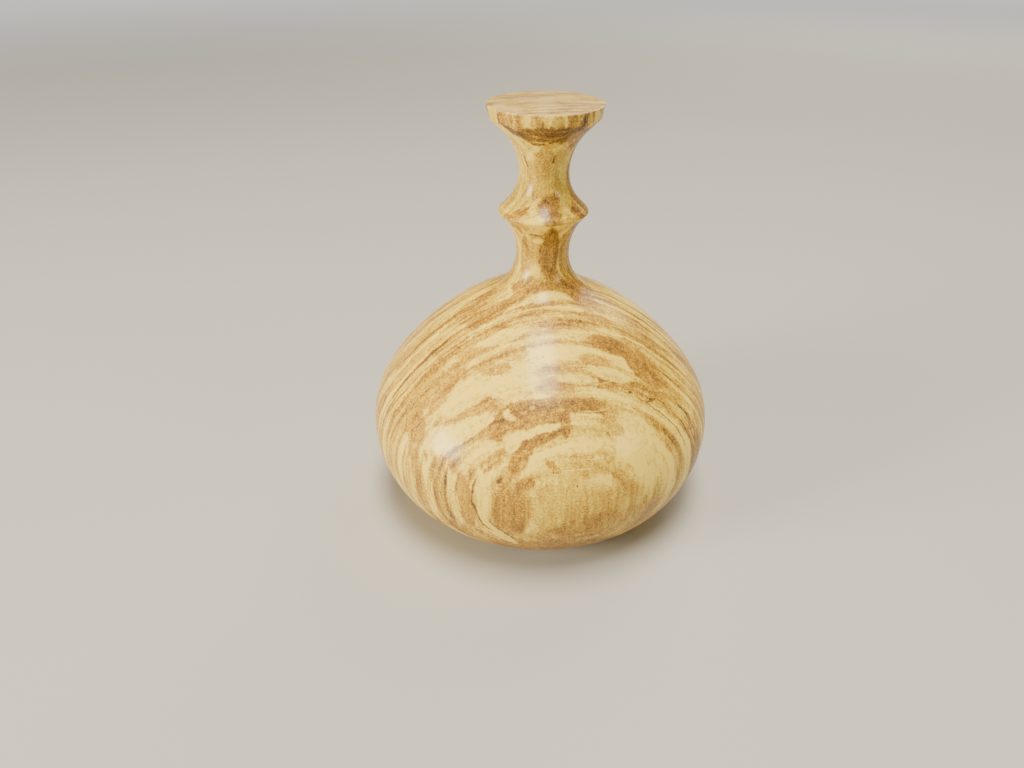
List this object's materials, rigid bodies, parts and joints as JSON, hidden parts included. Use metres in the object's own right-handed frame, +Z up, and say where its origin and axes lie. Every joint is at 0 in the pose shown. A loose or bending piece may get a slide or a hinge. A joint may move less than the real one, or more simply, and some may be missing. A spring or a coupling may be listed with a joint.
{
  "type": "eyeglasses display stand",
  "caption": "Turned wooden spindle with an onion-shaped bulb, a beaded neck and a flat disc on top, which holds glasses by their bridge on its upper neck",
  "frame": {"origin": "on the turning axis, at the underside of the felt pad that rests on the table", "axes": "+Z up along the turning axis, +X to the viewer's right, -Y towards the viewer, where the bridge of the glasses rests"},
  "size_m": [0.066, 0.066, 0.0789],
  "materials": {
    "lacquered_beech": "clear satin-gloss lacquer on spalted beech",
    "felt": "pressed wool felt"
  },
  "bodies": {
    "root": {"turned_body": "lacquered_beech", "base_pad": "felt"}
  },
  "joints": []
}
